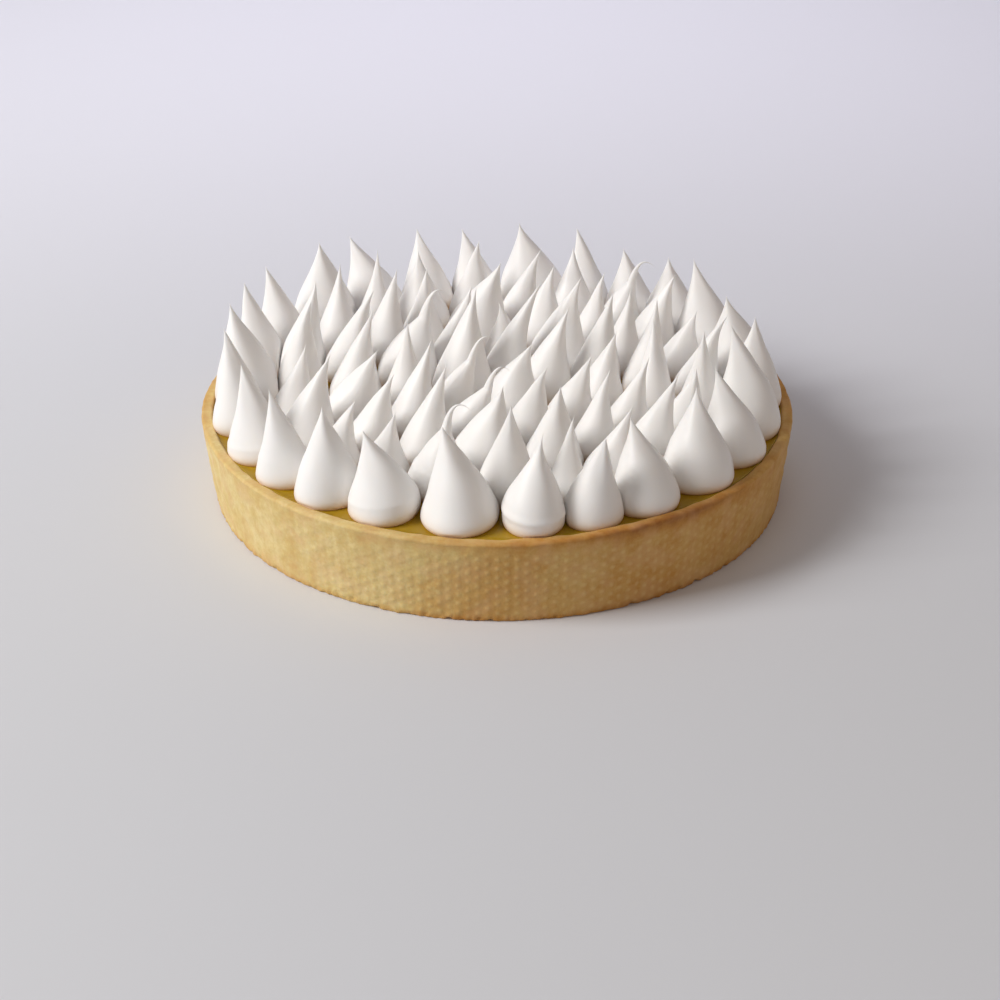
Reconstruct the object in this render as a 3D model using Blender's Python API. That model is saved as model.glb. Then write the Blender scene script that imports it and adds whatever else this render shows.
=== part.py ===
"""A lemon meringue tart, 240 mm across: a straight-sided shortcrust shell, lemon curd filled
to just under its rim, and five rings of piped meringue kisses standing on the curd.

The frame is in metres with +Z up. The origin is the middle of the flat underside.
"""

from collections import namedtuple
from math import cos, pi, sin
import random

import bmesh
import bpy
from mathutils import Vector
import numpy as np

MM = 0.001

# Shortcrust shell: baked in a ring 240 mm across and 35 mm high, and shrunk a little at the foot
RIM_RADIUS = 120 * MM
FOOT_RADIUS = 116.5 * MM
CRUST_HEIGHT = 35 * MM
WALL = 4.5 * MM
FLOOR = 5 * MM
RIM_ROUNDING = 1.2 * MM
FOOT_ROUNDING = 0.8 * MM
TURN_STEPS = 64

# Lemon curd, poured level inside the shell
CURD_BELOW_RIM = 1.3 * MM
GAP = 0.3 * MM  # clearance between solids that touch on the real tart

CURD_TOP = CRUST_HEIGHT - CURD_BELOW_RIM
KISS_FOOT = CURD_TOP + GAP

# A kind of kiss: its bulb's radius, its height, how far its point leans from over its foot, and
# how finely its solid is divided
Kind = namedtuple("Kind", "bulb height lean levels sides")
RIM_KIND = Kind(
    bulb=11.4 * MM,
    height=37.9 * MM,
    lean=Vector((-3.3, 0.5)) * MM,
    levels=(0, 0.05, 0.12, 0.32, 0.56, 0.8),
    sides=10,
)
INNER_KIND = Kind(
    bulb=10.8 * MM,
    height=36.3 * MM,
    lean=Vector((4.8, 0)) * MM,
    levels=(0, 0.12, 0.42, 0.75),
    sides=9,
)

# Rings of kisses, from the rim inwards: how many, the ring's radius, and where its first kiss
# stands, as a share of the step between two. A ring's six seeds set its kisses apart, in the
# order of Spreads.
Ring = namedtuple("Ring", "kind count radius first seeds")
RINGS = (
    Ring(RIM_KIND, 26, 103.5 * MM, 0.41, (174775, 235003, 274739, 3282, 837315, 1169)),
    Ring(INNER_KIND, 23, 82.8 * MM, 0.999, (2315, 5880, 6083, 926, 3270, 801)),
    Ring(INNER_KIND, 17, 60.4 * MM, 0.796, (2977, 4771, 8664, 4333, 9816, 9239)),
    Ring(INNER_KIND, 11, 41 * MM, 0.429, (5547, 9183, 7127, 9658, 3927, 6184)),
    Ring(INNER_KIND, 5, 19.5 * MM, 0.302, (808, 2268, 5079, 6436, 9814, 640)),
)
SEPARATE_RINGS = 2  # the kisses further in are piped so close that their bulbs run together

# How far one kiss differs from the next, as standard deviations: turn along the ring in steps,
# distance from the middle, bulb and height as shares, and the point's lean along X and Y
Spreads = namedtuple("Spreads", "turn radius bulb height lean_x lean_y")
RIM_SPREADS = Spreads(0.1, 2 * MM, 0.11, 0.09, 3.8 * MM, 3 * MM)
INNER_SPREADS = Spreads(0.14, 2.2 * MM, 0.07, 0.1, 4.2 * MM, 3 * MM)

# Kisses set down too close are moved apart, a share of the shortfall at a time
SETTLE_PASSES = 40
SETTLE_SHARE = 0.35
CROWDING = 0.94  # the room that a kiss takes among those that run together, over its own width
MERGE = 1.07  # how far past touching their bulbs reach
INSIDE = 0.93  # the share of a bulb that stands inside the shell: the rest swells over the rim

# A kiss's outline: a rounded foot, its widest place low down, and a straight-sided or slightly
# domed cone up to a sharp point
FOOT_SHARE = 0.85  # the foot's radius over the bulb's
WIDEST_AT = 0.12  # as a share of the kiss's height
DOME_SHARE = 0.4  # how much of the outline is a dome, the rest being a straight cone
DOME_PER_BULB = 3  # a kiss with a bigger bulb than its kind's is more of a dome
DOME_RANGE = (0, 0.9)
DOME_POWER = 1.5  # 1 is a full dome, and 2 a bulb with a long thin point
LEAN_POWER = 1.6  # above 1, a kiss stands upright at its foot and bends towards its point


def clear_scene():
    for obj in list(bpy.data.objects):
        bpy.data.objects.remove(obj)


def finish(name, colour, roughness):
    """A Principled material in one linear colour."""
    made = bpy.data.materials.new(name)
    made.use_nodes = True
    shader = made.node_tree.nodes["Principled BSDF"]
    shader.inputs["Base Color"].default_value = (*colour, 1)
    shader.inputs["Roughness"].default_value = roughness
    return made


def placed(name, bm, material):
    """Turns a bmesh into a named object, smooth but for its sharp edges."""
    bmesh.ops.recalc_face_normals(bm, faces=bm.faces)
    mesh = bpy.data.meshes.new(name)
    bm.to_mesh(mesh)
    bm.free()
    mesh.shade_smooth()
    mesh.set_sharp_from_angle(angle=pi / 4)
    mesh.materials.append(material)
    obj = bpy.data.objects.new(name, mesh)
    bpy.context.scene.collection.objects.link(obj)
    return obj


def turned(name, profile, material):
    """Spins a profile of (radius, height) points that starts and ends on the Z axis."""
    bm = bmesh.new()
    points = [bm.verts.new((radius, 0, height)) for radius, height in profile]
    edges = [bm.edges.new(pair) for pair in zip(points, points[1:])]
    bmesh.ops.spin(
        bm,
        geom=points + edges,
        cent=(0, 0, 0),
        axis=(0, 0, 1),
        angle=2 * pi,
        steps=TURN_STEPS,
    )
    bmesh.ops.remove_doubles(bm, verts=bm.verts, dist=MM / 100)
    return placed(name, bm, material)


def arc(radius, height, size, start, end, pieces):
    """Points round (radius, height), between two angles in degrees above the outward direction."""
    turns = [(start + (end - start) * k / pieces) * pi / 180 for k in range(pieces + 1)]
    return [(radius + size * cos(turn), height + size * sin(turn)) for turn in turns]


def inner_radius(height):
    """The shell's inside radius: its wall leans out a little from the foot to the rim."""
    return FOOT_RADIUS + (RIM_RADIUS - FOOT_RADIUS) * height / CRUST_HEIGHT - WALL


def shell_profile():
    foot, rim = FOOT_ROUNDING, RIM_ROUNDING
    top = CRUST_HEIGHT - rim
    return [
        (0, 0),
        *arc(FOOT_RADIUS - foot, foot, foot, -90, 0, 1),
        *arc(RIM_RADIUS - rim, top, rim, 0, 90, 2),
        *arc(RIM_RADIUS - WALL + rim, top, rim, 90, 180, 2),
        (inner_radius(FLOOR), FLOOR),
        (0, FLOOR),
    ]


def curd_profile():
    floor = FLOOR + GAP
    return [
        (0, floor),
        (inner_radius(floor) - GAP, floor),
        (inner_radius(CURD_TOP) - GAP, CURD_TOP),
        (0, CURD_TOP),
    ]


class Kiss:
    """One piped kiss: its kind, where its foot stands, its size, and where its point goes."""

    def __init__(self, kind, foot, bulb, height, lean):
        self.kind, self.foot, self.bulb = kind, foot, bulb
        self.height, self.lean = height, lean
        dome = DOME_SHARE + DOME_PER_BULB * (bulb / kind.bulb - 1)
        self.dome = float(np.clip(dome, *DOME_RANGE))

    def radius(self, level):
        """The radius at a share of the height: a rounded foot, then a domed cone."""
        if level < WIDEST_AT:
            below = 1 - level / WIDEST_AT
            return self.bulb * (1 - (1 - FOOT_SHARE) * below**2)
        up = (level - WIDEST_AT) / (1 - WIDEST_AT)
        dome = cos(up * pi / 2) ** DOME_POWER
        return self.bulb * (self.dome * dome + (1 - self.dome) * (1 - up))

    def axis(self, level):
        """The middle of the kiss at a share of its height."""
        x, y = self.foot + self.lean * level**LEAN_POWER
        return Vector((x, y, KISS_FOOT + self.height * level))

    def distance(self, other):
        return (self.foot - other.foot).length


def normals(seed, count):
    """One seeded standard normal number for each kiss in a ring."""
    draw = random.Random(seed)
    return np.array([draw.gauss(0, 1) for _ in range(count)])


def ring_of_kisses(ring, spreads):
    """Evenly stepped kisses, each set off by its own numbers. They go round anticlockwise, as
    seen from above, from the middle of the front."""
    drawn = [normals(seed, ring.count) * spread for seed, spread in zip(ring.seeds, spreads)]
    turn, out, bulb, height, lean_x, lean_y = drawn
    angles = 2 * pi * (np.arange(ring.count) + ring.first + turn) / ring.count - pi / 2
    return [
        Kiss(
            ring.kind,
            foot=Vector((cos(angle), sin(angle))) * (ring.radius + out[k]),
            bulb=ring.kind.bulb * (1 + bulb[k]),
            height=ring.kind.height * (1 + height[k]),
            lean=ring.kind.lean + Vector((lean_x[k], lean_y[k])),
        )
        for k, angle in enumerate(angles)
    ]


def settle(apart, together):
    """Moves kisses away from those they crowd, keeping them inside the shell."""
    kisses = apart + together
    feet = np.array([kiss.foot for kiss in kisses])
    bulbs = np.array([kiss.bulb for kiss in kisses])
    needed = bulbs[:, None] + bulbs + 2 * GAP
    needed[len(apart) :, len(apart) :] *= CROWDING
    np.fill_diagonal(needed, 0)
    reach = inner_radius(CURD_TOP) - GAP - INSIDE * bulbs
    for _ in range(SETTLE_PASSES):
        away = feet[:, None] - feet
        apart = np.linalg.norm(away, axis=2) + np.eye(len(feet))
        short = np.maximum(needed - apart, 0) / apart
        feet += SETTLE_SHARE * (away * short[..., None]).sum(axis=1)
        feet *= np.minimum(1, reach / np.linalg.norm(feet, axis=1))[:, None]
    for kiss, foot in zip(kisses, feet):
        kiss.foot = Vector(foot)


def run_together(kisses):
    """Widens kisses until the bulb of each overlaps those of the two nearest to it."""
    for kiss in kisses:
        for other in sorted(kisses, key=kiss.distance)[1:3]:
            share = MERGE * kiss.distance(other) / (kiss.bulb + other.bulb)
            if share > 1:
                kiss.bulb *= share
                other.bulb *= share


def stand_clear(kisses, others):
    """Narrows kisses until each stands clear of the others and of one another."""
    for kiss in kisses:
        rooms = [kiss.distance(other) - other.bulb - 2 * GAP for other in others]
        kiss.bulb = min(kiss.bulb, *rooms)
    for kiss in kisses:
        for other in kisses:
            share = (kiss.distance(other) - 2 * GAP) / (kiss.bulb + other.bulb)
            if other is not kiss and share < 1:
                kiss.bulb *= share
                other.bulb *= share


def kiss_bmesh(kiss):
    """Loops of points round the kiss's axis, bridged, with a flat foot and a pointed top."""
    bm = bmesh.new()
    sides = kiss.kind.sides
    turns = [2 * pi * k / sides for k in range(sides)]
    loops = [
        [
            bm.verts.new(kiss.axis(level) + Vector((cos(a), sin(a), 0)) * kiss.radius(level))
            for a in turns
        ]
        for level in kiss.kind.levels
    ]
    point = bm.verts.new(kiss.axis(1))
    bm.faces.new(reversed(loops[0]))
    for k in range(sides):
        after = (k + 1) % sides
        for below, above in zip(loops, loops[1:]):
            bm.faces.new((below[k], below[after], above[after], above[k]))
        bm.faces.new((loops[-1][k], loops[-1][after], point))
    return bm


def joined(name, kisses, material):
    """One solid of kisses whose bulbs run together: their Boolean union."""
    pieces = [placed(f"{name}_{k}", kiss_bmesh(kiss), material) for k, kiss in enumerate(kisses)]
    gathered = bpy.data.collections.new("run_together")
    for piece in pieces[1:]:
        gathered.objects.link(piece)
    union = pieces[0].modifiers.new("union", "BOOLEAN")
    union.operation = "UNION"
    union.operand_type = "COLLECTION"
    union.collection = gathered
    graph = bpy.context.evaluated_depsgraph_get()
    mesh = bpy.data.meshes.new_from_object(pieces[0].evaluated_get(graph))
    for piece in pieces:
        bpy.data.objects.remove(piece)
    bpy.data.collections.remove(gathered)
    obj = bpy.data.objects.new(name, mesh)
    bpy.context.scene.collection.objects.link(obj)


def main():
    clear_scene()
    pastry = finish("pastry", (0.62, 0.40, 0.15), 0.75)
    curd = finish("curd", (0.85, 0.52, 0.02), 0.25)
    meringue = finish("meringue", (0.88, 0.87, 0.84), 0.45)

    turned("crust", shell_profile(), pastry)
    turned("lemon_curd", curd_profile(), curd)

    rings = [
        ring_of_kisses(ring, INNER_SPREADS if k else RIM_SPREADS) for k, ring in enumerate(RINGS)
    ]
    apart = sum(rings[:SEPARATE_RINGS], [])
    together = sum(rings[SEPARATE_RINGS:], [])
    settle(apart, together)
    run_together(together)
    stand_clear(apart, together)
    for name, kisses in zip(("rim_kiss", "second_kiss"), rings):
        for k, kiss in enumerate(kisses, 1):
            placed(f"{name}_{k:02d}", kiss_bmesh(kiss), meringue)
    joined("centre_kisses", together, meringue)


main()
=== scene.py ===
# %% [markdown]
# # A lemon meringue tart
#
# The tart is a straight-sided shortcrust shell, baked in a perforated ring 240 mm across, filled
# with lemon curd and covered in piped kisses of uncoloured Italian meringue. Its plain solids
# arrive as a fixed frame. Each is replaced here by a finer surface in the same place: the shell
# with the nubs that the ring's holes leave, the curd with its glossy skin, and every kiss with
# its own drawn-out point.

# %% Load the frame
import random

import bpy
import numpy as np
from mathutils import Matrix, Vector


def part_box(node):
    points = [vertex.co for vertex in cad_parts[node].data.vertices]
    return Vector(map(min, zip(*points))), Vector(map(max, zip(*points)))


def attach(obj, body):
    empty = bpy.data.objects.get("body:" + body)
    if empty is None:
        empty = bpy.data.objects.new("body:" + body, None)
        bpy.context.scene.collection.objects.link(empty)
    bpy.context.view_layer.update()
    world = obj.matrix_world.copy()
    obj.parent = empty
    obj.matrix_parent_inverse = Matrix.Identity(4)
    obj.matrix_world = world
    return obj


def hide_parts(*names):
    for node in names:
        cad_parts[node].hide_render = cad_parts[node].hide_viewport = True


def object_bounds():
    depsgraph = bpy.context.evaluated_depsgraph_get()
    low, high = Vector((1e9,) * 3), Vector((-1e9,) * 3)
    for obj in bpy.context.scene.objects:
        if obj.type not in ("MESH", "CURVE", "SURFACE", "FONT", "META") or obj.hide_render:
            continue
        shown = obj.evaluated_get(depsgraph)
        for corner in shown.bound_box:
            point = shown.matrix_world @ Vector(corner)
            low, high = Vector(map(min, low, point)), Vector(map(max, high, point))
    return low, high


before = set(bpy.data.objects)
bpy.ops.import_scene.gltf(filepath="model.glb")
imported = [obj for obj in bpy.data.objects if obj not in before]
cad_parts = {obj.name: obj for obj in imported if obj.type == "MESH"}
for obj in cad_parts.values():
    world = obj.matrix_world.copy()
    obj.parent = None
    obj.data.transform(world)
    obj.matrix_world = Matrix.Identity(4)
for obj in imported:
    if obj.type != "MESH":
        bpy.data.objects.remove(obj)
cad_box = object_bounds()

MM = 0.001
size = cad_box[1] - cad_box[0]
print("the frame is", [round(side / MM, 1) for side in size], "mm")
print("nodes in the frame:", len(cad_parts))

# %% [markdown]
# ## The sizes that everything follows
#
# A surface that stands in for a solid has to sit exactly where the solid does. What a box can't
# tell, such as the thickness of the wall, is the tart's own recipe and is named here.

# %% Measure the shell and the curd
low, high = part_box("crust")
RIM_RADIUS, CRUST_HEIGHT = high.x, high.z
CURD_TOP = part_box("lemon_curd")[1].z
FOOT_RADIUS = 116.5 * MM
WALL = 4.5 * MM
FLOOR = 5 * MM
GAP = 0.3 * MM
MOUTH = FOOT_RADIUS + (RIM_RADIUS - FOOT_RADIUS) * CURD_TOP / CRUST_HEIGHT - WALL
print(f"rim {RIM_RADIUS / MM:.1f} mm, curd {CURD_TOP / MM:.1f} mm up, mouth {MOUTH / MM:.1f} mm")

# %% [markdown]
# ## Making a closed surface from rings
#
# Every piece of this tart is something turned or piped, so every surface is a stack of rings
# with a single point at each end. A grid of points worked out as one array is much faster than
# placing vertices one at a time, and joining neighbours by index keeps the faces pointing
# outwards and the poles closed.


# %% Rings into a mesh
def ring_faces(rows, columns):
    """Faces of a stack of rings, with the start pole as point 0 and the end pole last: a fan of
    triangles, then quads between ring and next ring, then a fan of triangles."""
    k = np.arange(columns)
    after = (k + 1) % columns
    start = np.stack([np.zeros_like(k), 1 + after, 1 + k], axis=1)
    below = 1 + (np.arange(rows - 1) * columns)[:, None]
    quads = np.stack([below + k, below + after, below + columns + after, below + columns + k], -1)
    last = 1 + (rows - 1) * columns
    end = np.stack([last + k, last + after, np.full_like(k, last + columns)], axis=1)
    return start, quads.reshape(-1, 4), end


def surface_arrays(start, rings, end):
    """Points and faces of one closed surface: a pole, rings of shape (rows, columns, 3), a pole."""
    rows, columns = rings.shape[:2]
    points = np.concatenate([[start], rings.reshape(-1, 3), [end]])
    return points, ring_faces(rows, columns)


def mesh_piece(name, surfaces, material, attributes=None):
    """One smooth object made of closed surfaces, with one value a point for each attribute."""
    points, corners, counts, base = [], [], [], 0
    for surface_points, groups in surfaces:
        points.append(surface_points)
        for group in groups:
            corners.append((group + base).ravel())
            counts.append(np.full(len(group), group.shape[1]))
        base += len(surface_points)
    points, corners, counts = map(np.concatenate, (points, corners, counts))
    starts = np.concatenate([[0], np.cumsum(counts)[:-1]])
    mesh = bpy.data.meshes.new(name)
    mesh.vertices.add(len(points))
    mesh.vertices.foreach_set("co", points.astype(np.float32).ravel())
    mesh.loops.add(len(corners))
    mesh.loops.foreach_set("vertex_index", corners.astype(np.int32))
    mesh.polygons.add(len(counts))
    mesh.polygons.foreach_set("loop_start", starts.astype(np.int32))
    mesh.update(calc_edges=True)
    mesh.shade_smooth()
    for key, values in (attributes or {}).items():
        layer = mesh.attributes.new(key, "FLOAT", "POINT")
        layer.data.foreach_set("value", np.asarray(values, np.float32))
    mesh.validate()
    mesh.materials.append(material)
    obj = bpy.data.objects.new(name, mesh)
    bpy.context.scene.collection.objects.link(obj)
    return obj


# %% [markdown]
# ## Unevenness
#
# Nothing baked or piped is quite true. A sum of cosines with whole numbers of waves round the
# tart gives an unevenness that joins up with itself after a full turn, and a seeded generator
# gives the same one at every run.


# %% Waves round the tart
def smoothstep(low, high, value):
    """0 below low, 1 above high, and an S-shaped curve between them."""
    share = np.clip((value - low) / (high - low), 0, 1)
    return share * share * (3 - 2 * share)


def waves(seed, turn, height, most_turns, finest, count=40):
    """A sum of cosines over the turn and the height, scaled to a standard deviation of 1. The
    waves go up to most_turns round the tart, and down to finest metres long in height."""
    rng = np.random.default_rng(seed)
    total = np.zeros(np.broadcast(turn, height).shape)
    for _ in range(count):
        round_it = rng.integers(1, most_turns + 1)
        up_it = rng.uniform(-1, 1) * 2 * np.pi / finest
        total += np.cos(round_it * turn + up_it * height + rng.uniform(0, 2 * np.pi))
    return total / np.sqrt(count / 2)


# %% [markdown]
# ## Colours and nodes
#
# Colours are written as the sRGB hex values that a colour picker gives. Shaders count light, so
# one function turns hex to linear. Another adds any node with its settings and its links.


# %% Two helpers for materials
def linear(hex_colour):
    """An sRGB hex value as the linear red, green, blue and alpha that shaders take."""
    srgb = np.array([int(hex_colour[k : k + 2], 16) for k in (1, 3, 5)]) / 255
    lin = np.where(srgb <= 0.04045, srgb / 12.92, ((srgb + 0.055) / 1.055) ** 2.4)
    return (*lin.tolist(), 1.0)


def add_node(tree, kind, inputs=None, **settings):
    """Adds a node. Inputs are values or the sockets that feed them, by name or by number."""
    node = tree.nodes.new(kind)
    for key, value in settings.items():
        setattr(node, key, value)
    for key, value in (inputs or {}).items():
        socket = node.inputs[key]
        if isinstance(value, bpy.types.NodeSocket):
            tree.links.new(value, socket)
        else:
            socket.default_value = value
    return node


def new_material(name):
    """An empty material with its Principled shader."""
    material = bpy.data.materials.new(name)
    material.use_nodes = True
    tree = material.node_tree
    return material, tree, tree.nodes["Principled BSDF"]


def ramp(tree, value, stops):
    """A colour ramp through (position, hex colour) stops."""
    node = add_node(tree, "ShaderNodeValToRGB", {"Fac": value})
    while len(node.color_ramp.elements) < len(stops):
        node.color_ramp.elements.new(0.5)
    for element, (position, colour) in zip(node.color_ramp.elements, stops):
        element.position = position
        element.color = linear(colour)
    return node.outputs["Color"]


def speckle(tree, grain, detail=2.0, roughness=0.5, upright=1.0):
    """Noise on the piece's own coordinates, with lumps about one grain (in metres) across and
    upright times as high."""
    place = add_node(tree, "ShaderNodeTexCoord").outputs["Object"]
    place = add_node(
        tree, "ShaderNodeMapping", {"Vector": place, "Scale": (1, 1, 1 / upright)}
    ).outputs["Vector"]
    node = add_node(
        tree,
        "ShaderNodeTexNoise",
        {"Vector": place, "Scale": 0.6 / grain, "Detail": detail, "Roughness": roughness},
    )
    return node.outputs["Fac"]


def weighted(tree, terms):
    """The sum of several sockets, each times its weight."""
    total = 0.0
    for socket, weight in terms:
        total = add_node(
            tree, "ShaderNodeMath", {0: socket, 1: weight, 2: total}, operation="MULTIPLY_ADD"
        ).outputs[0]
    return total


def blend(tree, share, first, second):
    """Mixes two colours. Each argument is a socket or a value."""
    node = add_node(tree, "ShaderNodeMix", data_type="RGBA")
    for key, value in ((0, share), (6, first), (7, second)):
        if isinstance(value, bpy.types.NodeSocket):
            tree.links.new(value, node.inputs[key])
        else:
            node.inputs[key].default_value = value
    return node.outputs[2]


# %% [markdown]
# ## Shortcrust, baked in a perforated ring
#
# Shortcrust pastry is flour, butter and a little egg. Baked, it is matt and sandy, pale straw on
# the flat of the wall, golden where the oven's heat reaches most, and lightly mottled. Its colour
# follows two things that the shape knows: how brown each place is, which is partly baking and
# partly painted shade and warm bounced light on the side turned from the window, and where the
# ring's holes left a nub, whose tops are painted paler as a highlight. Both come in as attributes
# of the mesh. The rest is noise at real sizes: clouds of 15 mm, mottling of 3.4 mm, upright
# strokes 1.6 mm wide that a wall gets as it slides out of its ring, pinker patches of 5 mm, and a
# crumb of 0.7 mm. A grit of bumps makes it matt.

# %% Pastry
pastry, tree, shader = new_material("shortcrust_baked")
# this attribute holds the baked colour and also painted shade on the side turned from the window
browning_and_shade = add_node(tree, "ShaderNodeAttribute", attribute_name="browning_and_shade").outputs["Fac"]
nub = add_node(tree, "ShaderNodeAttribute", attribute_name="nub").outputs["Fac"]
crumb = speckle(tree, 0.7 * MM, 2, 0.6)
uneven = weighted(
    tree,
    (
        (browning_and_shade, 1.0),
        (speckle(tree, 15 * MM, 3), 0.2),  # clouds
        (speckle(tree, 3.4 * MM, 2), 0.24),  # mottling
        (speckle(tree, 1.6 * MM, 2, upright=7), 0.12),  # strokes
        (crumb, 0.16),
    ),
)
pastry_colour_and_shade = ramp(
    tree,
    uneven,
    (
        (0.24, "#e9d49b"),
        (0.35, "#dcc180"),
        (0.47, "#d3ac68"),
        (0.66, "#c18b43"),
        (0.88, "#9c622a"),
    ),
)
pinker = add_node(
    tree,
    "ShaderNodeMapRange",
    {"Value": speckle(tree, 5 * MM, 2), "From Min": 0.45, "From Max": 0.65, "To Max": 0.35},
).outputs["Result"]
pastry_colour_and_shade = blend(tree, pinker, pastry_colour_and_shade, linear("#d9ad7c"))
# the nubs' tops are painted paler: a painted highlight where they stand out into the light
painted_nub_highlight = weighted(tree, ((nub, 0.22),))
pastry_colour_and_shade = blend(tree, painted_nub_highlight, pastry_colour_and_shade, linear("#ebd59a"))
tree.links.new(pastry_colour_and_shade, shader.inputs["Base Color"])
shader.inputs["Roughness"].default_value = 0.7
shader.inputs["Specular IOR Level"].default_value = 0.3
shader.inputs["Subsurface Weight"].default_value = 0.12
shader.inputs["Subsurface Radius"].default_value = (1.0, 0.6, 0.25)
shader.inputs["Subsurface Scale"].default_value = 1.2 * MM
grit = add_node(
    tree, "ShaderNodeBump", {"Height": crumb, "Distance": 0.2 * MM, "Strength": 0.45}
)
tree.links.new(grit.outputs["Normal"], shader.inputs["Normal"])
print("pastry nodes:", len(tree.nodes))

# %% [markdown]
# ## Set lemon curd
#
# Curd is egg, butter, sugar and lemon juice cooked to a gel. It is a deep lemon yellow, set here
# darker and more olive as painted shade, since it shows only in the shaded gaps between kisses.
# Light goes a few millimetres into it, and its skin is smooth and shiny with the faintest ripple.
# The low roughness gives the eye that wet shine, and the ripple breaks the shine up.

# %% Curd
curd, tree, shader = new_material("lemon_curd_set")
depth = speckle(tree, 9 * MM, 2)
# these two colours are darker than lit curd: painted shade for the gaps between the kisses
yellow = ramp(tree, depth, ((0.3, "#a58318"), (0.7, "#b59320")))
tree.links.new(yellow, shader.inputs["Base Color"])
shader.inputs["Roughness"].default_value = 0.22
shader.inputs["IOR"].default_value = 1.4
shader.inputs["Subsurface Weight"].default_value = 0.35
shader.inputs["Subsurface Radius"].default_value = (1.0, 0.7, 0.12)
shader.inputs["Subsurface Scale"].default_value = 3 * MM
ripple = add_node(
    tree,
    "ShaderNodeBump",
    {"Height": speckle(tree, 2.5 * MM, 1), "Distance": 0.15 * MM, "Strength": 0.4},
)
tree.links.new(ripple.outputs["Normal"], shader.inputs["Normal"])
print("curd nodes:", len(tree.nodes))

# %% [markdown]
# ## Italian meringue, not browned
#
# Whipped egg white cooked by hot syrup is a dense white foam. Its skin is smooth and satin, and
# light scatters inside it, so its shadows are soft and a little warm. There is hardly any
# pattern to see: only a very slight change of gloss, and bubbles too fine to count. At the foot
# it has drunk a little curd, and the curd's yellow light falls on it too; an attribute of the mesh
# turns both into a peach tint, so that tint is partly a curd stain and partly a painted reflection.

# %% Meringue
meringue, tree, shader = new_material("italian_meringue_piped")
curd_stain_and_bounce = add_node(tree, "ShaderNodeAttribute", attribute_name="curd_stain_and_bounce").outputs["Fac"]
# peach at the foot: partly a curd stain, partly a painted reflection of the curd's light
white = blend(tree, curd_stain_and_bounce, linear("#f8f6f4"), linear("#eebc84"))
tree.links.new(white, shader.inputs["Base Color"])
gloss = add_node(
    tree,
    "ShaderNodeMapRange",
    {"Value": speckle(tree, 6 * MM, 2), "To Min": 0.34, "To Max": 0.5},
)
tree.links.new(gloss.outputs["Result"], shader.inputs["Roughness"])
shader.inputs["IOR"].default_value = 1.42
shader.inputs["Subsurface Weight"].default_value = 0.35
shader.inputs["Subsurface Radius"].default_value = (1.0, 0.9, 0.8)
shader.inputs["Subsurface Scale"].default_value = 2.5 * MM
bubbles = add_node(
    tree,
    "ShaderNodeBump",
    {"Height": speckle(tree, 1.2 * MM, 2), "Distance": 0.12 * MM, "Strength": 0.25},
)
tree.links.new(bubbles.outputs["Normal"], shader.inputs["Normal"])
print("meringue nodes:", len(tree.nodes))

# %% [markdown]
# ## The crust
#
# The shell could be the plain turned solid with a bump texture, but its nubs are a quarter of a
# millimetre high and show against the light, so they are real. Dough swells into the ring's
# holes, which are 2 mm across and stand in columns round the ring, every second column half a
# step higher. The top 5 mm of the ring has no holes. Butter makes the foot of the wall crumbly,
# and the rim, cut with a knife before baking, dips and swells a little.
#
# No oven bakes evenly, and the window at the left leaves the right of the shell in shade. This
# shell is palest at the left and brownest a little right of the front, partly from uneven baking
# and partly as painted shade and warm bounced light. So two short lists say how brown the wall and
# the rim's edge are at a few turns, and the shell's browning and painted shade are read off
# between them.

# %% The shell's outline
HOLE_COLUMNS = 208
HOLE_STEP = 3.97 * MM
HOLE_RADIUS = 1.05 * MM
NUB_HEIGHT = 0.25 * MM
PLAIN_TOP = 5.2 * MM
RIM_ROUNDING = 1.2 * MM
FOOT_ROUNDING = 0.8 * MM
# the turn at which the dough was pressed hardest into the ring
PRESSED_AT = np.radians(-78)
# by the turn in degrees: how brown the wall is, partly painted shade and warm bounced light, and
# how much browner the rim's outer edge is
TURNS = (-170, -155, -140, -125, -110, -95, -80, -65, -50, -35, -20, 45, 90, 135)
WALL_BROWN_AND_SHADE = (
    *(-0.03, -0.05, -0.04, -0.03, 0.03, 0.08, 0.17),
    *(0.24, 0.2, 0.18, 0.18, 0.1, 0.02, -0.02),
)
EDGE_BROWN = (
    *(0.12, 0.08, -0.05, -0.05, -0.07, 0.08, 0.06),
    *(0.16, 0.14, -0.1, -0.1, 0.08, 0.06, 0.1),
)


def arc(radius, height, size, start, end, rows):
    """Points on an arc about (radius, height), between angles in degrees above outward."""
    turn = np.radians(np.linspace(start, end, rows))
    return np.stack([radius + size * np.cos(turn), height + size * np.sin(turn)], axis=1)


def shell_outline():
    """(radius, height) up the outside, over the rim and down the inside."""
    top = CRUST_HEIGHT - RIM_ROUNDING
    foot = np.array([[30, 0], [80, 0], [112, 0]]) * MM
    corner = arc(FOOT_RADIUS - FOOT_ROUNDING, FOOT_ROUNDING, FOOT_ROUNDING, -90, 0, 4)
    heights = np.linspace(FOOT_ROUNDING, top, 54)[1:-1]
    wall = np.stack(
        [FOOT_RADIUS + (RIM_RADIUS - FOOT_RADIUS) * heights / CRUST_HEIGHT, heights], axis=1
    )
    outer = arc(RIM_RADIUS - RIM_ROUNDING, top, RIM_ROUNDING, 0, 90, 6)
    inner = arc(RIM_RADIUS - WALL + RIM_ROUNDING, top, RIM_ROUNDING, 90, 180, 6)
    inside = np.array(
        [
            [MOUTH, CURD_TOP - 0.5 * MM],
            [MOUTH - 0.3 * MM, CURD_TOP - 4 * MM],
            [FOOT_RADIUS - WALL, FLOOR],
        ]
    )
    return np.concatenate([foot, corner, wall, outer, inner, inside])


outline = shell_outline()
print("rows in the shell's outline:", len(outline))


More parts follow.
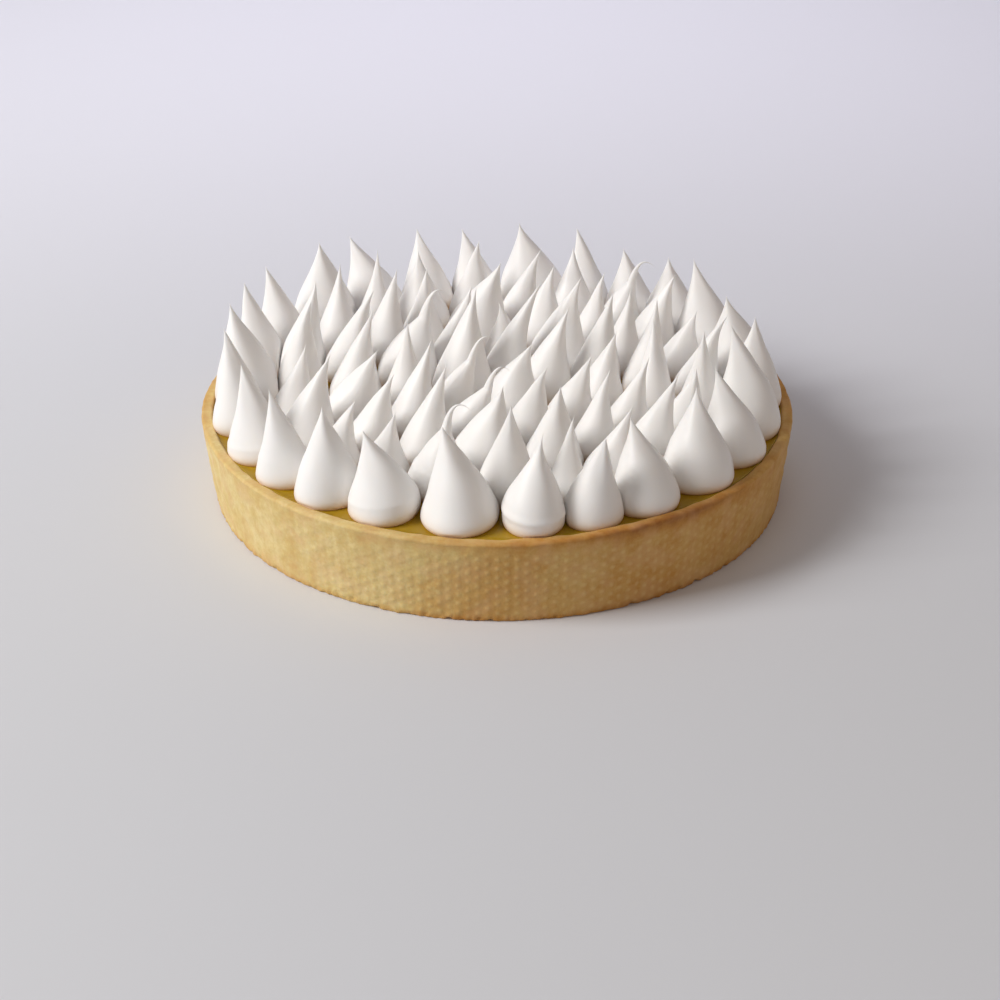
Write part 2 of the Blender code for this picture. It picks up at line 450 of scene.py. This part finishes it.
# %% The nubs and the surface of the shell
def nub_field(turn, height):
    """1 on the middle of each hole's nub and 0 between them. The holes make two square lattices,
    the second set off by a column and half a step, and the nearer hole of the two counts."""
    column = turn / (2 * np.pi) * HOLE_COLUMNS
    width = 2 * np.pi * FOOT_RADIUS / HOLE_COLUMNS
    nearest = np.full(np.broadcast(turn, height).shape, np.inf)
    for shift in (0, 1):
        across = (column - shift) / 2
        across = (across - np.round(across)) * 2 * width
        up = height / HOLE_STEP - shift / 2
        up = (up - np.round(up)) * HOLE_STEP
        nearest = np.minimum(nearest, np.hypot(across, up))
    return 1 - smoothstep(0.35 * HOLE_RADIUS, 1.25 * HOLE_RADIUS, nearest)


def crust_surface(turn, outline):
    """The shell as a function of the turn round it and the place on its outline: the outline,
    plus slow waves in radius and height, nubs on the wall, and chips along the foot. The browning,
    which carries painted shade as well, is the wall's, plus the edge's dying away from the rim as
    the square of the distance, plus a golden band below the rim, a darker foot and slow waves."""
    radius, height = outline[:, :1], outline[:, 1:]
    outer = smoothstep(FOOT_RADIUS - 4 * MM, FOOT_RADIUS - 1 * MM, radius)
    outer = outer * (np.arange(len(outline))[:, None] < np.argmax(outline[:, 1]) + 1)
    rim = smoothstep(CRUST_HEIGHT - 4 * MM, CRUST_HEIGHT, height)
    wall = outer * (1 - rim)
    nubs = nub_field(turn, height) * wall
    nubs = nubs * (1 - smoothstep(-1, 1, (height - (CRUST_HEIGHT - PLAIN_TOP)) / MM))
    nubs = nubs * smoothstep(0.5 * MM, 3 * MM, height)
    pressed = 0.62 + 0.38 * np.cos(2 * (turn - PRESSED_AT))
    depth = np.clip(pressed + 0.14 * waves(1, turn, height, 9, 40 * MM), 0.12, 1.1)
    foot = outer * (1 - smoothstep(0.5 * MM, 3.5 * MM, height))
    chips = np.clip(waves(2, turn, height, 150, 5 * MM) - 0.9, 0, None) * foot
    out = 0.22 * MM * waves(3, turn, height, 7, 60 * MM) * np.maximum(outer, rim)
    out = out + 0.07 * MM * waves(4, turn, height, 120, 7 * MM) * np.maximum(outer, rim)
    out = out + NUB_HEIGHT * depth * nubs - 0.5 * MM * chips
    out = out + 0.16 * MM * waves(5, turn, height, 260, 3 * MM, 60) * foot
    lift = rim * (
        0.3 * MM * waves(6, turn, 0 * height, 9, 1) + 0.1 * MM * waves(7, turn, radius, 90, 4 * MM)
    )
    radius = radius + out
    height = np.minimum(height + lift, CRUST_HEIGHT + 0.4 * MM)
    points = np.stack(
        [radius * np.cos(turn), radius * np.sin(turn), height + 0 * turn], axis=-1
    )
    top_edge = np.hypot(
        np.clip(CRUST_HEIGHT - height, 0, None) * 0.75, np.clip(RIM_RADIUS - radius, 0, None)
    )
    degrees = np.degrees(turn)
    # the wall's darkening by turn is partly uneven baking and partly painted shade and warm bounced
    # light
    wall_brown_and_shade = np.interp(degrees, TURNS, WALL_BROWN_AND_SHADE, period=360)
    edge_brown = np.interp(degrees, TURNS, EDGE_BROWN, period=360)
    band = outer * smoothstep(CRUST_HEIGHT - 8 * MM, CRUST_HEIGHT, height)
    browning_and_shade = (
        wall_brown_and_shade
        + edge_brown * np.exp(-((top_edge / (2 * MM)) ** 2))
        + (0.03 + 0.5 * np.clip(wall_brown_and_shade, 0, None)) * band
        + 0.15 * foot
        + 0.03 * waves(8, turn, height, 12, 50 * MM)
        + 0.03 * rim * (1 - outer)
    )
    return points, nubs * depth, browning_and_shade


turn = np.linspace(0, 2 * np.pi, HOLE_COLUMNS * 6, endpoint=False)[None, :]
rings, nubs, browning_and_shade = crust_surface(turn, outline)
ends = [[0, 0, 0], [0, 0, FLOOR]]
crust = mesh_piece(
    "baked_crust",
    [surface_arrays(ends[0], rings, ends[1])],
    pastry,
    {
        "nub": np.concatenate([[0], nubs.ravel(), [0]]),
        "browning_and_shade": np.concatenate([[0], (browning_and_shade + 0 * turn).ravel(), [0]]),
    },
)
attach(crust, "root")
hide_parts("crust")
print("crust:", len(crust.data.polygons), "faces")

# %% [markdown]
# ## The curd
#
# Curd is poured warm and sets level, drawing up a fraction of a millimetre where it wets the
# pastry. The surface is a disc whose height is a function of the turn and the distance from the
# middle. It runs a hair's breadth into the wall, so no dark line of air shows between them.


# %% The surface of the curd
def curd_surface(turn, radius):
    """Height over the disc: level, with slow waves that die away towards the middle and the
    wall, and a rise of 0.5 mm that dies away exponentially from the wall."""
    rise = 0.5 * MM * np.exp((radius - MOUTH) / (1.2 * MM))
    level = 0.12 * MM * waves(11, turn, radius, 9, 30 * MM)
    level = level * (1 - radius / MOUTH) * smoothstep(0, 25 * MM, radius)
    height = CURD_TOP + rise + level
    return np.stack([radius * np.cos(turn), radius * np.sin(turn), height + 0 * turn], axis=-1)


turn = np.linspace(0, 2 * np.pi, 256, endpoint=False)[None, :]
at_wall = np.linspace(MOUTH + 0.2 * MM, MOUTH - 4 * MM, 9)
reach = np.concatenate([at_wall, np.linspace(108, 4, 27) * MM])
top = curd_surface(turn, reach[:, None])
under = np.array([[60 * MM, FLOOR + GAP], [FOOT_RADIUS - WALL - GAP, FLOOR + GAP]])
under = np.stack(
    [under[:, :1] * np.cos(turn), under[:, :1] * np.sin(turn), under[:, 1:] + 0 * turn], axis=-1
)
filling = mesh_piece(
    "lemon_curd_filling",
    [surface_arrays([0, 0, FLOOR + GAP], np.concatenate([under, top]), [0, 0, CURD_TOP])],
    curd,
)
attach(filling, "root")
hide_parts("lemon_curd")
print("curd:", len(filling.data.polygons), "faces")

# %% [markdown]
# ## Where the kisses stand
#
# The kisses are piped ring by ring from the rim inwards. The same rule as the solids' places
# them: even steps round each ring, set off by seeded normal numbers, and then a few rounds in
# which kisses that crowd each other move apart. The solids keep clear of each other, which real
# kisses don't. So their feet then spread into the holes and swell until they press on each
# other, while their points stay where they are.

# %% The rings of kisses
RING_COUNTS = (26, 23, 17, 11, 5)
RING_RADII = np.array([103.5, 82.8, 60.4, 41, 19.5]) * MM
RING_FIRSTS = (0.41, 0.999, 0.796, 0.429, 0.302)
RING_SEEDS = (
    (174775, 235003, 274739, 3282, 837315, 1169),
    (2315, 5880, 6083, 926, 3270, 801),
    (2977, 4771, 8664, 4333, 9816, 9239),
    (5547, 9183, 7127, 9658, 3927, 6184),
    (808, 2268, 5079, 6436, 9814, 640),
)
# bulb, height, and lean along X and Y: means, then standard deviations
RIM_MEANS = (11.4 * MM, 37.9 * MM, -3.3 * MM, 0.5 * MM)
INNER_MEANS = (10.8 * MM, 36.3 * MM, 4.8 * MM, 0)
RIM_SPREADS = (0.1, 2 * MM, 0.11, 0.09, 3.8 * MM, 3 * MM)
INNER_SPREADS = (0.14, 2.2 * MM, 0.07, 0.1, 4.2 * MM, 3 * MM)
SEPARATE = sum(RING_COUNTS[:2])


def normals(seed, count):
    """One seeded standard normal number for each kiss in a ring."""
    draw = random.Random(seed)
    return np.array([draw.gauss(0, 1) for _ in range(count)])


def ring_of_kisses(ring):
    """Feet, bulbs, heights, leans and fullness of one ring's kisses."""
    means, spreads = (INNER_MEANS, INNER_SPREADS) if ring else (RIM_MEANS, RIM_SPREADS)
    count = RING_COUNTS[ring]
    drawn = [normals(seed, count) * spread for seed, spread in zip(RING_SEEDS[ring], spreads)]
    turn, out, bulb, height, lean_x, lean_y = drawn
    angle = 2 * np.pi * (np.arange(count) + RING_FIRSTS[ring] + turn) / count - np.pi / 2
    radius = RING_RADII[ring] + out
    return np.stack(
        [
            radius * np.cos(angle),
            radius * np.sin(angle),
            means[0] * (1 + bulb),
            means[1] * (1 + height),
            means[2] + lean_x,
            means[3] + lean_y,
            bulb,
        ],
        axis=1,
    )


kisses = np.concatenate([ring_of_kisses(ring) for ring in range(len(RING_COUNTS))])
feet, bulbs, heights, leans, fullness = (
    kisses[:, :2],
    kisses[:, 2],
    kisses[:, 3],
    kisses[:, 4:6],
    kisses[:, 6],
)
names = [f"rim_kiss_{k + 1:02d}" for k in range(RING_COUNTS[0])]
names += [f"second_kiss_{k + 1:02d}" for k in range(RING_COUNTS[1])]
print(len(kisses), "kisses,", len(names), "of them separate solids")


# %% Move the crowded ones apart, as the solids are
def settle(feet, bulbs, passes=40, share=0.35, crowding=0.94, inside=0.93):
    """Each round moves every kiss away from each one it crowds, by a share of what is lacking."""
    needed = bulbs[:, None] + bulbs + 2 * GAP
    needed[SEPARATE:, SEPARATE:] *= crowding
    np.fill_diagonal(needed, 0)
    reach = MOUTH - GAP - inside * bulbs
    for _ in range(passes):
        away = feet[:, None] - feet
        apart = np.linalg.norm(away, axis=2) + np.eye(len(feet))
        short = np.maximum(needed - apart, 0) / apart
        feet = feet + share * (away * short[..., None]).sum(axis=1)
        feet = feet * np.minimum(1, reach / np.linalg.norm(feet, axis=1))[:, None]
    return feet


feet = settle(feet, bulbs)
print("furthest foot:", (np.linalg.norm(feet, axis=1).max() / MM).round(1), "mm out")


# %% Fill the holes and let the feet press together
# the furthest that a foot may move, by ring, and how much a bulb may swell, at least and at most
MAY_MOVE = np.array([0, 3, 6, 6, 6]) * MM
RIM_SWELL, INNER_SWELL = (1.1, 1.3), (1.0, 1.4)
# how hard the bulbs press, how far they reach over the rim, and the share by which a foot at the
# rim may stand further out
PRESSING = 1.04
OVER_RIM = 1 * MM
FURTHER_OUT = 1.06


def even_out(feet, bulbs, passes=60, share=0.15, wanted=1.25):
    """Kisses push apart until their feet stand wanted times the sum of their bulbs from each
    other, or until they've moved as far as they may."""
    start = feet
    ring = np.repeat(np.arange(len(RING_COUNTS)), RING_COUNTS)
    limit = MAY_MOVE[ring]
    needed = wanted * (bulbs[:, None] + bulbs)
    np.fill_diagonal(needed, 0)
    for _ in range(passes):
        away = feet[:, None] - feet
        apart = np.linalg.norm(away, axis=2) + np.eye(len(feet))
        short = np.maximum(needed - apart, 0) / apart
        moved = feet + share * (away * short[..., None]).sum(axis=1) - start
        length = np.maximum(np.linalg.norm(moved, axis=1), 1e-9)
        feet = start + moved * np.minimum(1, limit / length)[:, None]
    return feet


def swell(feet, bulbs):
    """How wide each kiss is piped. It spreads until it presses on the nearest others (two at the
    rim, three further in), taken together, within the two limits. One at the rim then stands
    where its bulb reaches a little over the rim, or as far out as it may."""
    spread = bulbs.copy()
    for kiss in range(len(feet)):
        at_rim = kiss < RING_COUNTS[0]
        least, most = RIM_SWELL if at_rim else INNER_SWELL
        count = 2 if at_rim else 3
        apart = np.linalg.norm(feet - feet[kiss], axis=1)
        if at_rim:
            apart[RING_COUNTS[0] :] = np.inf
        near = np.argsort(apart)[1 : count + 1]
        room = (apart[near] * bulbs[kiss] / (bulbs[kiss] + bulbs[near])).mean()
        spread[kiss] = np.clip(PRESSING * room, least * bulbs[kiss], most * bulbs[kiss])
    most_out = np.where(np.arange(len(feet)) < RING_COUNTS[0], FURTHER_OUT, 1)
    share = np.minimum(most_out, (MOUTH + OVER_RIM - spread) / np.linalg.norm(feet, axis=1))
    return feet * share[:, None], spread, spread / bulbs


points = feet + leans
feet, bulbs, swollen = swell(even_out(feet, bulbs), bulbs)
leans = points - feet
print("bulbs swell by", swollen.min().round(2), "to", swollen.max().round(2), "times")
middles = [sum(corner.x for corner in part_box(name)) / 2 for name in names[: RING_COUNTS[0]]]
worst = np.abs(middles - feet[: RING_COUNTS[0], 0]).max()
print(f"the rim kisses are within {worst / MM:.1f} mm of their solids' middles, leans included")

# %% [markdown]
# ## The kisses
#
# A star nozzle would leave ridges, but these come from a plain round one: a bulb swells on the
# curd, the bag is lifted while the flow stops, and the meringue draws out to a point that leans
# or curls over. Each kiss is a tube about a bent axis. Its radius along the axis is a rounded
# foot, then a mix of a dome and a hollow cone: full kisses are more of a dome, slim ones and
# those that spread wide at the foot more of a cone. Five points curl right over in a hook. Where
# two kisses touch, they press each other flat.

# %% The outline of a kiss
FOOT_SHARE = 0.86
WIDEST_AT = 0.11
# how much of a kiss is a dome: at the rim, and more for each share that its bulb is over the mean
DOME_SHARE, DOME_PER_BULB, DOME_POWER, CONE_POWER = 0.4, 3, 1.5, 1.08
INNER_DOME, INNER_CONE_POWER = 0.08, 1.2
# a kiss that has swollen at the foot is hollower above it
HOLLOW_PER_SWELL = 1.2
# the shape of the two kisses that differ, and how much slimmer a hooked point is
CONE_DOME = 0.12
ONION_DOME, ONION_POWER, ONION_FOLD_AT, ONION_FOLD = 1, 2, 0.2, 0.05
HOOK_SLIMMER = 0.62
LEAN_POWER = 1.6
POINT_RADIUS = 0.3 * MM
ROWS, COLUMNS = 56, 48
# the kisses whose point curls over, with how far it reaches, and the level it curls from
HOOKS = {34: 4 * MM, 47: 7.5 * MM, 73: 4.5 * MM, 76: 3 * MM, 81: 4 * MM}
HOOK_FROM = 0.7
# two kisses at the front: one like an onion with a fold low down, and one a plain cone
ONION, CONE = 0, 25


def kiss_radius(level, bulb, dome, power, cone_power):
    """The bulb's radius times: below the widest place, a quarter of an ellipse in to the foot;
    above it, a mix of a cosine raised to a power and a slightly hollow cone. Near the point it
    never gets thinner than a fine thread."""
    below = np.clip(1 - level / WIDEST_AT, 0, 1)
    up = (level - WIDEST_AT) / (1 - WIDEST_AT)
    up = np.clip((up + np.sqrt(up**2 + 0.0064)) / 2, 0, 1)
    foot = FOOT_SHARE + (1 - FOOT_SHARE) * np.sqrt(1 - below**2)
    drawn = dome * np.cos(up * np.pi / 2) ** power + (1 - dome) * (1 - up) ** cone_power
    thread = POINT_RADIUS * np.sqrt(np.clip(1 - level, 0, 1))
    return np.maximum(bulb * foot * drawn, thread)


def kiss_axis(level, kiss, curl, curl_turn):
    """The bent middle line: up from the foot, leaning as a power of the level, with the last
    third curling sideways as its square. A hooked point also reaches out to the right as a
    square, while its height climbs, turns over and falls back: 2.45 s - 1.72 s^2.5."""
    over = np.clip((level - HOOK_FROM) / (1 - HOOK_FROM), 0, 1)
    lean = level[:, None] ** LEAN_POWER * leans[kiss]
    side = (curl * over**2)[:, None] * np.array([np.cos(curl_turn), np.sin(curl_turn)])
    climb = level
    if kiss in HOOKS:
        side = side + np.stack([HOOKS[kiss] * over**2, 0 * over], axis=1)
        climb = np.minimum(level, HOOK_FROM) + (1 - HOOK_FROM) * (2.45 * over - 1.72 * over**2.5)
    rise = CURD_TOP - 0.4 * MM + climb * (heights[kiss] + 0.7 * MM)
    return np.concatenate([feet[kiss] + lean + side, rise[:, None]], axis=1)


# %% The surface of a kiss
def across(axis):
    """Two unit vectors square to the axis at each level, the first as near to X as can be."""
    along = np.gradient(axis, axis=0)
    along /= np.linalg.norm(along, axis=1)[:, None]
    first = np.array([1.0, 0, 0]) - along * along[:, :1]
    first /= np.linalg.norm(first, axis=1)[:, None]
    return first, np.cross(along, first)


def press(points, level, kiss):
    """Flattens a kiss softly against its neighbours: no point passes the plane that shares out
    the distance between two feet as their bulbs do. The points of the kisses are left alone."""
    hold = (1 - smoothstep(0.45, 0.7, level))[:, None]
    away = feet - feet[kiss]
    apart = np.linalg.norm(away, axis=1)
    near = (apart > 0) & (apart < 1.3 * (bulbs + bulbs[kiss]))
    soft = 0.5 * MM
    for other in np.flatnonzero(near):
        toward = away[other] / apart[other]
        limit = apart[other] * bulbs[kiss] / (bulbs[kiss] + bulbs[other]) - 0.1 * MM
        past = (points[..., :2] - feet[kiss]) @ toward - limit
        back = soft * np.logaddexp(0, past / soft) * hold
        points[..., :2] -= back[..., None] * toward
    return points


def kiss_surface(kiss):
    """One kiss as a function of the level up it and the turn round it. To the outline it adds an
    uneven section, a faint fold low down, and flutes that run together at the point."""
    rng = np.random.default_rng(500 + kiss)
    level = np.linspace(0, 1, ROWS + 1)[:-1] ** 1.1
    turn = np.linspace(0, 2 * np.pi, COLUMNS, endpoint=False)[None, :]
    rim = kiss < RING_COUNTS[0]
    dome = (DOME_SHARE if rim else INNER_DOME) + DOME_PER_BULB * fullness[kiss]
    dome, power = np.clip(dome, 0, 0.9), DOME_POWER
    curl = abs(rng.normal(0, 0.8 * MM))
    curl_turn = rng.uniform(0, 2 * np.pi)
    fold_at, fold = rng.uniform(0.08, 0.3), max(rng.normal(0, 0.022), 0)
    phases = rng.uniform(0, 2 * np.pi, 5)
    if kiss == ONION:
        dome, power, fold_at, fold = ONION_DOME, ONION_POWER, ONION_FOLD_AT, ONION_FOLD
    if kiss == CONE:
        dome, curl = CONE_DOME, 0
    high = level[:, None]
    section = (
        1
        + 0.03 * np.cos(2 * turn + phases[0] + 2 * high)
        + 0.02 * np.cos(3 * turn + phases[1] - 3 * high)
        + 0.05 * smoothstep(0.3, 0.8, high) * np.cos(4 * turn + phases[2] + 5 * high)
        + fold * np.exp(-(((high - fold_at - 0.02 * np.cos(turn + phases[3])) / 0.035) ** 2))
        + 0.012 * np.cos(16 * high + phases[4] + np.cos(turn))
    )
    cone_power = INNER_CONE_POWER + HOLLOW_PER_SWELL * (swollen[kiss] - 1)
    if rim:
        cone_power = CONE_POWER
    radius = kiss_radius(level, bulbs[kiss], dome, power, cone_power)
    if kiss in HOOKS:
        radius = radius * (1 - HOOK_SLIMMER * smoothstep(HOOK_FROM - 0.25, 0.95, level))
    radius = radius[:, None] * section
    axis = kiss_axis(level, kiss, curl, curl_turn)
    first, second = across(axis)
    rings = (
        axis[:, None]
        + radius[..., None] * np.cos(turn)[..., None] * first[:, None]
        + radius[..., None] * np.sin(turn)[..., None] * second[:, None]
    )
    rings[0, :, 2] = axis[0, 2]
    rings = press(rings, level, kiss)
    outside = np.linalg.norm(rings[..., :2], axis=2)
    room = MOUTH + 0.3 * MM + 1.5 * np.clip(rings[..., 2] - CRUST_HEIGHT, 0, None)
    keep = np.minimum(1, room / outside)
    rings[..., :2] *= keep[..., None]
    point = kiss_axis(np.array([0.998, 1.0]), kiss, curl, curl_turn)[1]
    return surface_arrays(axis[0], rings, point)


# %% Pipe them all
# the peach at the foot is partly curd stain and partly painted light bounced from the curd
STAIN_AND_BOUNCE_MOST, STAIN_AND_BOUNCE_DEPTH = 0.85, 1.7 * MM


def stain_and_bounce_shares(surfaces):
    """How much peach each point gets, partly curd it has drunk and partly painted light bounced
    from
    the curd: the most at the curd, dying away exponentially.
    """
    heights_above = np.concatenate([points[:, 2] for points, _ in surfaces]) - CURD_TOP
    return STAIN_AND_BOUNCE_MOST * np.exp(-np.clip(heights_above, 0, None) / STAIN_AND_BOUNCE_DEPTH)


for kiss, name in enumerate(names):
    surfaces = [kiss_surface(kiss)]
    piece = mesh_piece(f"piped_{name}", surfaces, meringue, {"curd_stain_and_bounce": stain_and_bounce_shares(surfaces)})
    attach(piece, "root")
    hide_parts(name)
surfaces = [kiss_surface(kiss) for kiss in range(SEPARATE, len(kisses))]
centre = mesh_piece("piped_centre_kisses", surfaces, meringue, {"curd_stain_and_bounce": stain_and_bounce_shares(surfaces)})
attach(centre, "root")
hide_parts("centre_kisses")
print("single kisses:", len(names), "and at the centre:", len(centre.data.polygons), "faces")

# %% [markdown]
# ## Floor, light and camera
#
# A pale floor that curves up into a wall keeps attention on the tart. One large soft window to
# the left, a little in front, models every kiss with a bright side and a grey side. A weak warm
# card at the right takes the cold out of the shadows, a wash lifts the backdrop behind, and a
# weak surround fills the rest.

# %% Floor
floor_material, tree, shader = new_material("studio_paper")
shader.inputs["Base Color"].default_value = linear("#dbdde3")
shader.inputs["Roughness"].default_value = 0.9
FLOOR_HALF_WIDTH = 16.0
FLOOR_FRONT = -16.0
BEND_AT, BEND_RADIUS, WALL_TOP = 1.6, 0.8, 4.0


def backdrop_surface(across, along):
    """Flat towards the viewer, a quarter circle at the back, then straight up."""
    bend = np.clip((along - BEND_AT) / BEND_RADIUS, 0, np.pi / 2)
    over = np.clip(along - BEND_AT - BEND_RADIUS * np.pi / 2, 0, None)
    depth = np.minimum(along, BEND_AT) + BEND_RADIUS * np.sin(bend)
    height = BEND_RADIUS * (1 - np.cos(bend)) + over
    return np.stack([across + 0 * depth, depth + 0 * across, height + 0 * across], axis=-1)


bend_rows = np.linspace(BEND_AT, BEND_AT + BEND_RADIUS * np.pi / 2, 24)
along = np.concatenate([[FLOOR_FRONT], bend_rows, [BEND_AT + WALL_TOP]])
sheet = backdrop_surface(np.linspace(-1, 1, 9)[None, :] * FLOOR_HALF_WIDTH, along[:, None])
rows, columns = sheet.shape[:2]
corner = (np.arange(rows - 1)[:, None] * columns + np.arange(columns - 1)).ravel()
faces = np.stack([corner, corner + 1, corner + columns + 1, corner + columns], axis=1)
floor_mesh = bpy.data.meshes.new("studio_floor")
floor_mesh.from_pydata(sheet.reshape(-1, 3).tolist(), [], faces.tolist())
floor_mesh.shade_smooth()
floor_mesh.materials.append(floor_material)
floor = bpy.data.objects.new("studio_floor", floor_mesh)
bpy.context.scene.collection.objects.link(floor)


# %% Lights
def area_light(name, place, target, side, power, colour):
    """A square soft light that faces a target."""
    data = bpy.data.lights.new(name, "AREA")
    data.size, data.energy, data.color = side, power, linear(colour)[:3]
    light = bpy.data.objects.new(name, data)
    light.location = place
    aim = np.array(target) - np.array(place)
    light.rotation_euler = Vector(aim).to_track_quat("-Z", "Y").to_euler()
    bpy.context.scene.collection.objects.link(light)
    return light


area_light("window", (-1.5, -0.45, 1.25), (0, 0, 0.03), 0.85, 31.5, "#fffdfb")
area_light("warm card", (1.2, -0.5, 0.55), (0, 0, 0.04), 0.8, 0.95, "#ffc890")
wash = area_light("backdrop wash", (0, 0.55, 1.2), (0, 0.95, 0), 1.2, 2.8, "#f2ecff")
wash.data.spread = np.radians(60)
world = bpy.data.worlds.new("surround")
world.use_nodes = True
world.node_tree.nodes["Background"].inputs["Color"].default_value = linear("#f2ebe4")
world.node_tree.nodes["Background"].inputs["Strength"].default_value = 0.3
bpy.context.scene.world = world

# %% Camera
CAMERA_ELEVATION = 28.7
CAMERA_DISTANCE = 841.5 * MM
LOOKS_AT = Vector((1 * MM, 0, -13 * MM))
rise = np.radians(CAMERA_ELEVATION)
camera_data = bpy.data.cameras.new("camera")
camera_data.lens = 72
camera_data.sensor_width = 36
camera_data.clip_start = 0.01
camera = bpy.data.objects.new("camera", camera_data)
camera.location = LOOKS_AT + Vector((0, -np.cos(rise), np.sin(rise))) * CAMERA_DISTANCE
camera.rotation_euler = (np.pi / 2 - rise, 0, 0)
bpy.context.scene.collection.objects.link(camera)
bpy.context.scene.camera = camera
bpy.context.scene.view_settings.view_transform = "Standard"
print("camera at", [round(value, 3) for value in camera.location])
